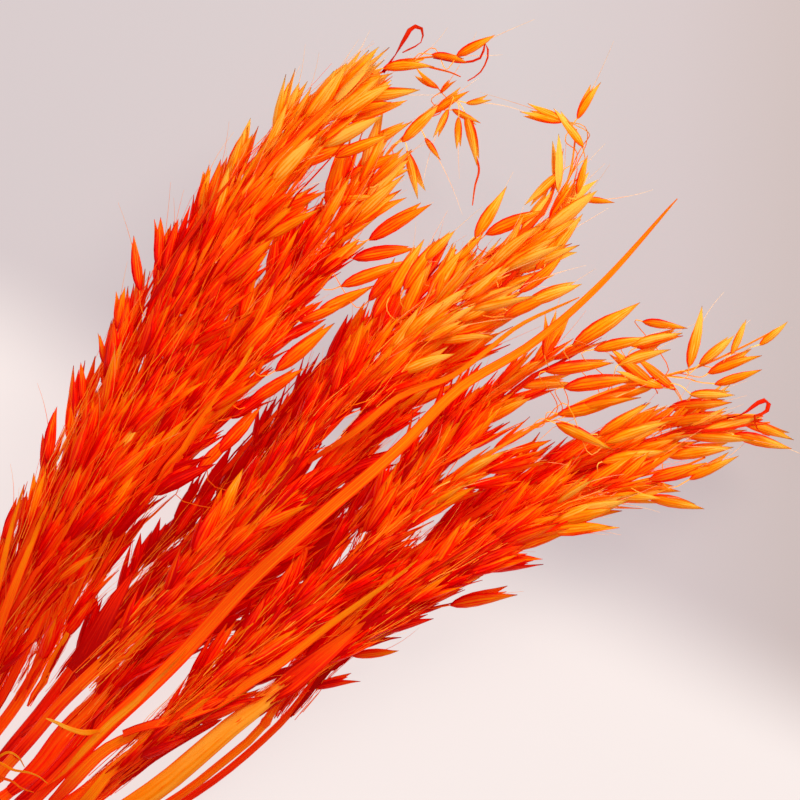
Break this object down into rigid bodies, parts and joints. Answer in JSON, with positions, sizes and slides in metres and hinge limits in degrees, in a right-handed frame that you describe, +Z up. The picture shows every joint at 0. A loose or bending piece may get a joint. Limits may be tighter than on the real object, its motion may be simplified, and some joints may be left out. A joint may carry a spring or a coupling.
{
  "type": "dried oats bundle",
  "caption": "Tied bundle of long dried oat stems, dyed orange, with full feathery heads that fan out from a twine tie, lying on its side.",
  "frame": {"origin": "on the surface the bundle lies on, under the middle of its bounding box", "axes": "+X along the stems from the cut ends to the heads, +Y to the left of that, +Z up"},
  "size_m": [0.604, 0.2496, 0.0645],
  "materials": {
    "dyed_oat": "dry, papery, slightly satin husks and straw, dyed red to yellow orange",
    "jute_twine": "natural jute twine, matt, with loose fibres"
  },
  "bodies": {
    "root": {"oat_stem_01": "dyed_oat", "oat_stem_02": "dyed_oat", "oat_stem_03": "dyed_oat", "oat_stem_04": "dyed_oat", "oat_stem_05": "dyed_oat", "oat_stem_06": "dyed_oat", "oat_stem_07": "dyed_oat", "oat_stem_08": "dyed_oat", "oat_stem_09": "dyed_oat", "oat_stem_10": "dyed_oat", "oat_stem_11": "dyed_oat", "oat_stem_12": "dyed_oat", "twine_tie": "jute_twine"}
  },
  "joints": []
}
